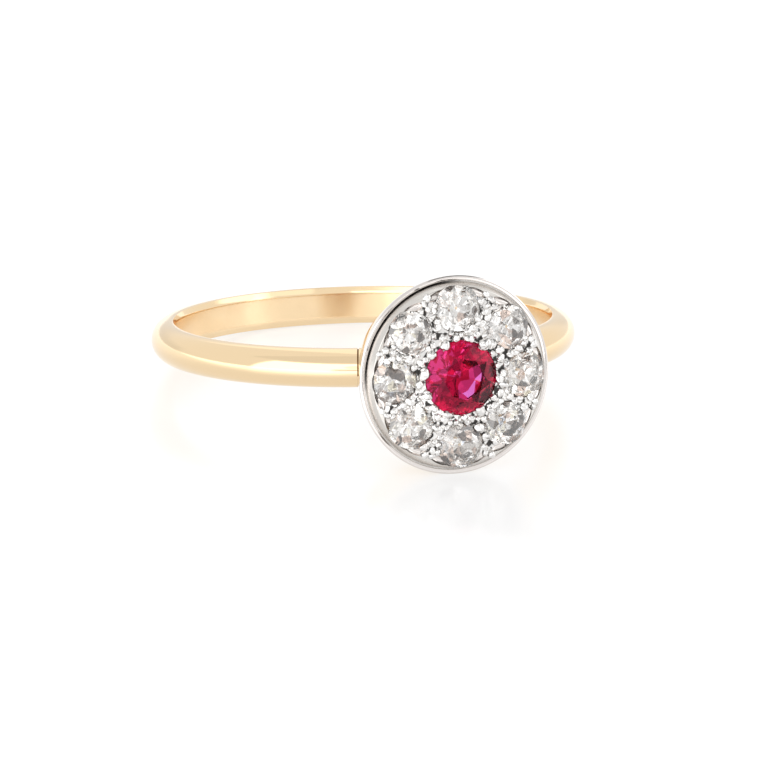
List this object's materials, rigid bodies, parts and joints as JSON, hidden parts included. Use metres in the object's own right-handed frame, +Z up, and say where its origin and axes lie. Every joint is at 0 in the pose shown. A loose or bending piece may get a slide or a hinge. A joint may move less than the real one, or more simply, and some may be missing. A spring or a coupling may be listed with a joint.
{
  "type": "halo cluster ring",
  "caption": "Round cluster ring with a red centre stone inside a circle of white stones, grain set in a domed white metal top on a yellow gold cup and D-section band",
  "frame": {"origin": "middle of the ring's outline seen from above, on the surface that it lies on", "axes": "+Z up from the surface; the stones face -Y, tilted up by the angle at which the ring lies; X runs across the band"},
  "size_m": [0.0194, 0.0228, 0.0087],
  "materials": {
    "yellow_gold": "polished",
    "white_metal": "polished",
    "red_stone": "faceted and polished",
    "white_stone": "faceted and polished"
  },
  "bodies": {
    "root": {"band": "yellow_gold", "top_plate": "white_metal", "ruby": "red_stone", "diamond_1": "white_stone", "diamond_2": "white_stone", "diamond_3": "white_stone", "diamond_4": "white_stone", "diamond_5": "white_stone", "diamond_6": "white_stone", "diamond_7": "white_stone", "diamond_8": "white_stone"}
  },
  "joints": []
}
